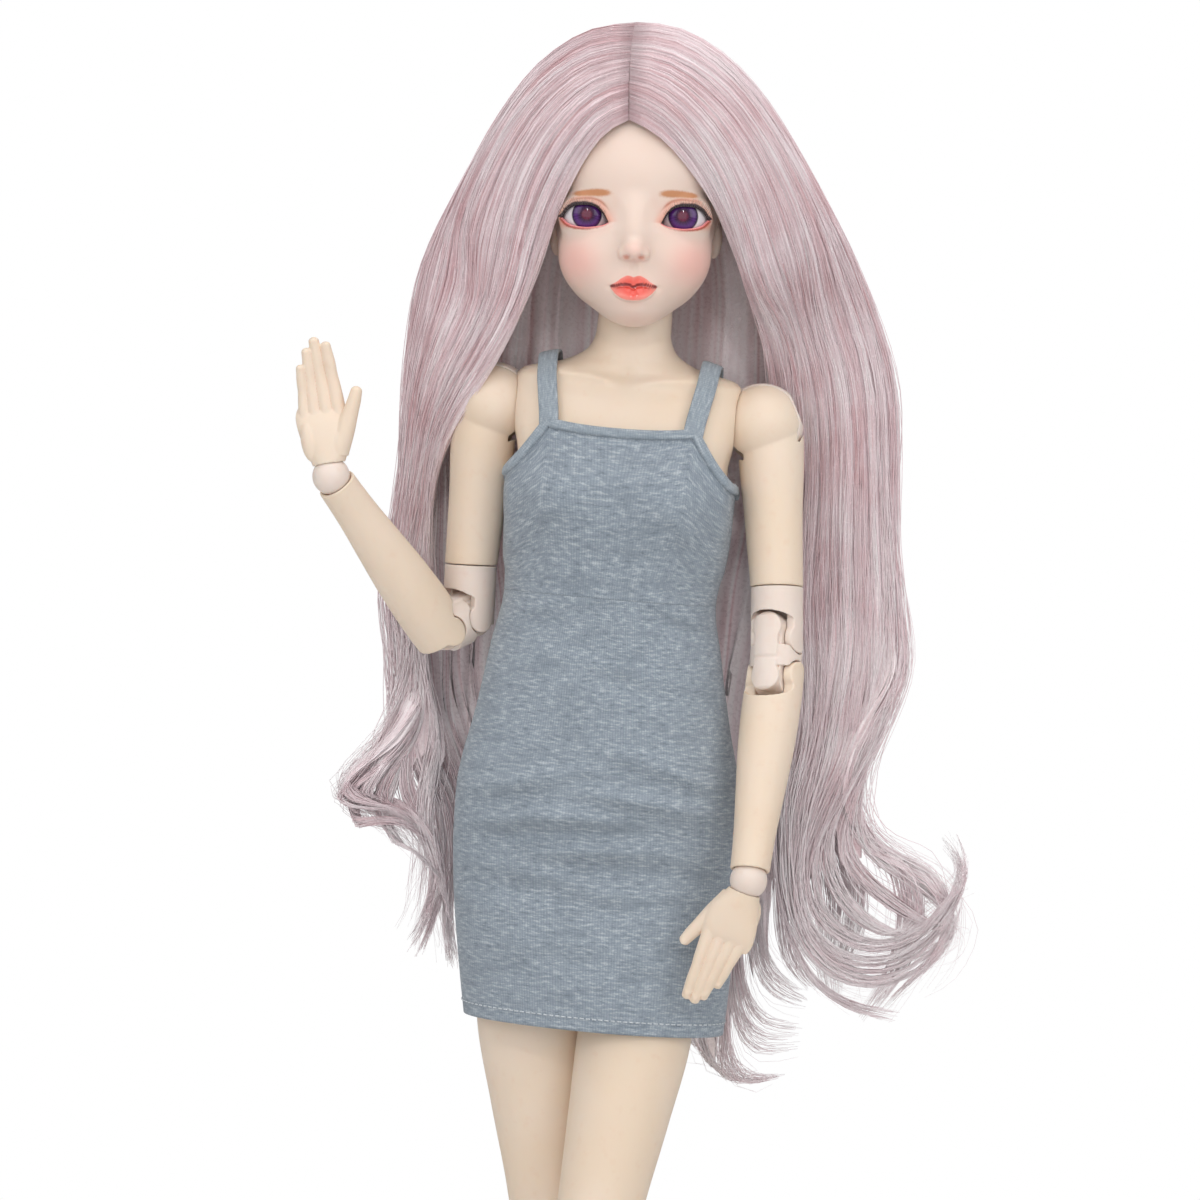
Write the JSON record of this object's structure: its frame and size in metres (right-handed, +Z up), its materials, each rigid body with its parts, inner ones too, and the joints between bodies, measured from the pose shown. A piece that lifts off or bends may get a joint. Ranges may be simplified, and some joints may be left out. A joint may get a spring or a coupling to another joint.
{
  "type": "ball jointed doll",
  "caption": "Slender ball jointed fashion doll with double-jointed elbows and knees, a long wavy wig and a strappy knit mini dress, one hand raised.",
  "frame": {"origin": "on the floor under the middle of the doll's bounding box", "axes": "+Z up, the doll faces -Y, its left side is +X"},
  "size_m": [0.2263, 0.158, 0.6115],
  "materials": {
    "head_vinyl": "matt sealed, painted face",
    "body_resin": "matt cast plastic",
    "joint_resin": "matt cast plastic, a little pinker than the limbs",
    "eye_acrylic": "glossy, purple iris under a clear dome",
    "hinge_pin_steel": "plain",
    "jersey": "heather grey single jersey with bound edges",
    "wig_fibre": "glossy pale pink synthetic fibre"
  },
  "bodies": {
    "pelvis": {"pelvis": "body_resin"},
    "midriff": {"midriff": "body_resin"},
    "chest": {"chest": "body_resin", "dress": "jersey", "dress_strap_left": "jersey", "dress_strap_right": "jersey"},
    "neck_ball": {"neck_ball": "joint_resin"},
    "head": {"head_shell": "head_vinyl", "head_cap": "head_vinyl", "eye_left": "eye_acrylic", "eye_right": "eye_acrylic", "wig": "wig_fibre"},
    "left_shoulder_disc": {"left_shoulder_disc": "joint_resin", "left_shoulder_pin": "hinge_pin_steel"},
    "left_upper_arm": {"left_upper_arm": "body_resin"},
    "left_elbow_sleeve": {"left_elbow_sleeve": "joint_resin", "left_elbow_upper_pin": "hinge_pin_steel"},
    "left_elbow_link": {"left_elbow_link": "joint_resin"},
    "left_forearm": {"left_forearm": "body_resin", "left_elbow_lower_pin": "hinge_pin_steel"},
    "left_wrist_ball": {"left_wrist_ball": "joint_resin"},
    "left_hand": {"left_hand": "body_resin"},
    "left_hip_disc": {"left_hip_disc": "joint_resin", "left_hip_pin": "hinge_pin_steel"},
    "left_thigh": {"left_thigh": "body_resin"},
    "left_knee_sleeve": {"left_knee_sleeve": "joint_resin", "left_knee_upper_pin": "hinge_pin_steel"},
    "left_knee_link": {"left_knee_link": "joint_resin"},
    "left_shin": {"left_shin": "body_resin", "left_knee_lower_pin": "hinge_pin_steel"},
    "left_ankle_ball": {"left_ankle_ball": "joint_resin"},
    "left_foot": {"left_foot": "body_resin"},
    "right_shoulder_disc": {"right_shoulder_disc": "joint_resin", "right_shoulder_pin": "hinge_pin_steel"},
    "right_upper_arm": {"right_upper_arm": "body_resin"},
    "right_elbow_sleeve": {"right_elbow_sleeve": "joint_resin", "right_elbow_upper_pin": "hinge_pin_steel"},
    "right_elbow_link": {"right_elbow_link": "joint_resin"},
    "right_forearm": {"right_forearm": "body_resin", "right_elbow_lower_pin": "hinge_pin_steel"},
    "right_wrist_ball": {"right_wrist_ball": "joint_resin"},
    "right_hand": {"right_hand": "body_resin"},
    "right_hip_disc": {"right_hip_disc": "joint_resin", "right_hip_pin": "hinge_pin_steel"},
    "right_thigh": {"right_thigh": "body_resin"},
    "right_knee_sleeve": {"right_knee_sleeve": "joint_resin", "right_knee_upper_pin": "hinge_pin_steel"},
    "right_knee_link": {"right_knee_link": "joint_resin"},
    "right_shin": {"right_shin": "body_resin", "right_knee_lower_pin": "hinge_pin_steel"},
    "right_ankle_ball": {"right_ankle_ball": "joint_resin"},
    "right_foot": {"right_foot": "body_resin"}
  },
  "joints": [
    {"name": "waist_bend", "type": "hinge", "parent": "pelvis", "child": "midriff", "pos_m": [-0.0099, 0.0178, 0.415], "axis": [1, 0, 0], "range_deg": [-12, 5], "deforming": ["dress"]},
    {"name": "waist_twist", "type": "hinge", "parent": "midriff", "child": "chest", "pos_m": [-0.0099, 0.0178, 0.434], "axis": [0, 0, 1], "range_deg": [-25, 25]},
    {"name": "neck_nod", "type": "hinge", "parent": "chest", "child": "neck_ball", "pos_m": [-0.0099, 0.0198, 0.524], "axis": [1, 0, 0], "range_deg": [-8, 4]},
    {"name": "head_turn", "type": "hinge", "parent": "neck_ball", "child": "head", "pos_m": [-0.0099, 0.0198, 0.524], "axis": [-0.0819, 0, 0.9966], "range_deg": [-45, 45], "deforming": ["wig"]},
    {"name": "left_shoulder_swing", "type": "hinge", "parent": "chest", "child": "left_shoulder_disc", "pos_m": [0.0341, 0.0218, 0.484], "axis": [-1, 0, 0], "range_deg": [-1, 110]},
    {"name": "left_shoulder_raise", "type": "hinge", "parent": "left_shoulder_disc", "child": "left_upper_arm", "pos_m": [0.0341, 0.0218, 0.484], "axis": [0, -0.9914, 0.1305], "range_deg": [-2, 80]},
    {"name": "left_biceps_turn", "type": "hinge", "parent": "left_upper_arm", "child": "left_elbow_sleeve", "pos_m": [0.04351, 0.01493, 0.43185], "axis": [-0.0872, 0.13, 0.9877], "range_deg": [-12, 60]},
    {"name": "left_elbow_upper", "type": "hinge", "parent": "left_elbow_sleeve", "child": "left_elbow_link", "pos_m": [0.04499, 0.01272, 0.41506], "axis": [-0.9029, 0.4087, -0.1335], "range_deg": [-6, 60]},
    {"name": "left_elbow_lower", "type": "hinge", "parent": "left_elbow_link", "child": "left_forearm", "pos_m": [0.04552, 0.00995, 0.40298], "axis": [-0.9029, 0.4087, -0.1335], "range_deg": [-6, 60]},
    {"name": "left_wrist_turn", "type": "hinge", "parent": "left_forearm", "child": "left_wrist_ball", "pos_m": [0.04329, -0.01034, 0.33871], "axis": [0.0023, 0.315, 0.9491], "range_deg": [-60, 60]},
    {"name": "left_wrist_bend", "type": "hinge", "parent": "left_wrist_ball", "child": "left_hand", "pos_m": [0.04329, -0.01034, 0.33871], "axis": [0.9659, 0, -0.2588], "range_deg": [-35, 8]},
    {"name": "left_hip_swing", "type": "hinge", "parent": "pelvis", "child": "left_hip_disc", "pos_m": [0.0131, 0.0198, 0.33], "axis": [-1, 0, 0], "range_deg": [0, 14]},
    {"name": "left_hip_spread", "type": "hinge", "parent": "left_hip_disc", "child": "left_thigh", "pos_m": [0.0131, 0.0198, 0.33], "axis": [0, -0.9914, 0.1305], "range_deg": [0, 30]},
    {"name": "left_thigh_turn", "type": "hinge", "parent": "left_thigh", "child": "left_knee_sleeve", "pos_m": [-0.00013, 0.00187, 0.19381], "axis": [0.0958, 0.1299, 0.9869], "range_deg": [-8, 30]},
    {"name": "left_knee_upper", "type": "hinge", "parent": "left_knee_sleeve", "child": "left_knee_link", "pos_m": [-0.00228, -0.00105, 0.17161], "axis": [0.9954, -0.0125, -0.095], "range_deg": [0, 28]},
    {"name": "left_knee_lower", "type": "hinge", "parent": "left_knee_link", "child": "left_shin", "pos_m": [-0.00396, -0.00333, 0.15433], "axis": [0.9954, -0.0125, -0.095], "range_deg": [0, 28]},
    {"name": "left_ankle_turn", "type": "hinge", "parent": "left_shin", "child": "left_ankle_ball", "pos_m": [0.00705, -0.01972, 0.028], "axis": [0, 0, 1], "range_deg": [-20, 20]},
    {"name": "left_ankle_bend", "type": "hinge", "parent": "left_ankle_ball", "child": "left_foot", "pos_m": [0.00705, -0.01972, 0.028], "axis": [-0.9945, -0.1045, 0], "range_deg": [-20, 25]},
    {"name": "right_shoulder_swing", "type": "hinge", "parent": "chest", "child": "right_shoulder_disc", "pos_m": [-0.0539, 0.0218, 0.484], "axis": [-1, 0, 0], "range_deg": [-8, 110]},
    {"name": "right_shoulder_raise", "type": "hinge", "parent": "right_shoulder_disc", "child": "right_upper_arm", "pos_m": [-0.0539, 0.0218, 0.484], "axis": [0, 1, 0], "range_deg": [-0.5, 80]},
    {"name": "right_biceps_turn", "type": "hinge", "parent": "right_upper_arm", "child": "right_elbow_sleeve", "pos_m": [-0.05711, 0.0218, 0.43066], "axis": [-0.0297, 0, 0.9996], "range_deg": [-40, 40]},
    {"name": "right_elbow_upper", "type": "hinge", "parent": "right_elbow_sleeve", "child": "right_elbow_link", "pos_m": [-0.05661, 0.0218, 0.41367], "axis": [0.6688, -0.7431, 0.0199], "range_deg": [-4, 68]},
    {"name": "right_elbow_lower", "type": "hinge", "parent": "right_elbow_link", "child": "right_forearm", "pos_m": [-0.06501, 0.01411, 0.40877], "axis": [0.6688, -0.7431, 0.0199], "range_deg": [-4, 68]},
    {"name": "right_wrist_turn", "type": "hinge", "parent": "right_forearm", "child": "right_wrist_ball", "pos_m": [-0.09969, -0.01893, 0.45625], "axis": [0.5373, 0.4648, -0.7037], "range_deg": [-60, 60]},
    {"name": "right_wrist_bend", "type": "hinge", "parent": "right_wrist_ball", "child": "right_hand", "pos_m": [-0.09969, -0.01893, 0.45625], "axis": [0.9703, 0, 0.2419], "range_deg": [-35, 35]},
    {"name": "right_hip_swing", "type": "hinge", "parent": "pelvis", "child": "right_hip_disc", "pos_m": [-0.0309, 0.0198, 0.33], "axis": [-1, 0, 0], "range_deg": [-13, 0]},
    {"name": "right_hip_spread", "type": "hinge", "parent": "right_hip_disc", "child": "right_thigh", "pos_m": [-0.0309, 0.0198, 0.33], "axis": [0, 0.9914, 0.1305], "range_deg": [0, 30]},
    {"name": "right_thigh_turn", "type": "hinge", "parent": "right_thigh", "child": "right_knee_sleeve", "pos_m": [-0.0105, 0.03762, 0.19468], "axis": [0.1478, 0.1291, -0.9806], "range_deg": [-8, 30]},
    {"name": "right_knee_upper", "type": "hinge", "parent": "right_knee_sleeve", "child": "right_knee_link", "pos_m": [-0.00718, 0.04052, 0.17262], "axis": [0.989, -0.0193, 0.1465], "range_deg": [0, 60]},
    {"name": "right_knee_lower", "type": "hinge", "parent": "right_knee_link", "child": "right_shin", "pos_m": [-0.00459, 0.04278, 0.15546], "axis": [0.989, -0.0193, 0.1465], "range_deg": [0, 60]},
    {"name": "right_ankle_turn", "type": "hinge", "parent": "right_shin", "child": "right_ankle_ball", "pos_m": [-0.0189, 0.05942, 0.028], "axis": [0, 0, 1], "range_deg": [-20, 20]},
    {"name": "right_ankle_bend", "type": "hinge", "parent": "right_ankle_ball", "child": "right_foot", "pos_m": [-0.0189, 0.05942, 0.028], "axis": [-0.9903, 0.1392, 0], "range_deg": [-20, 25]}
  ]
}
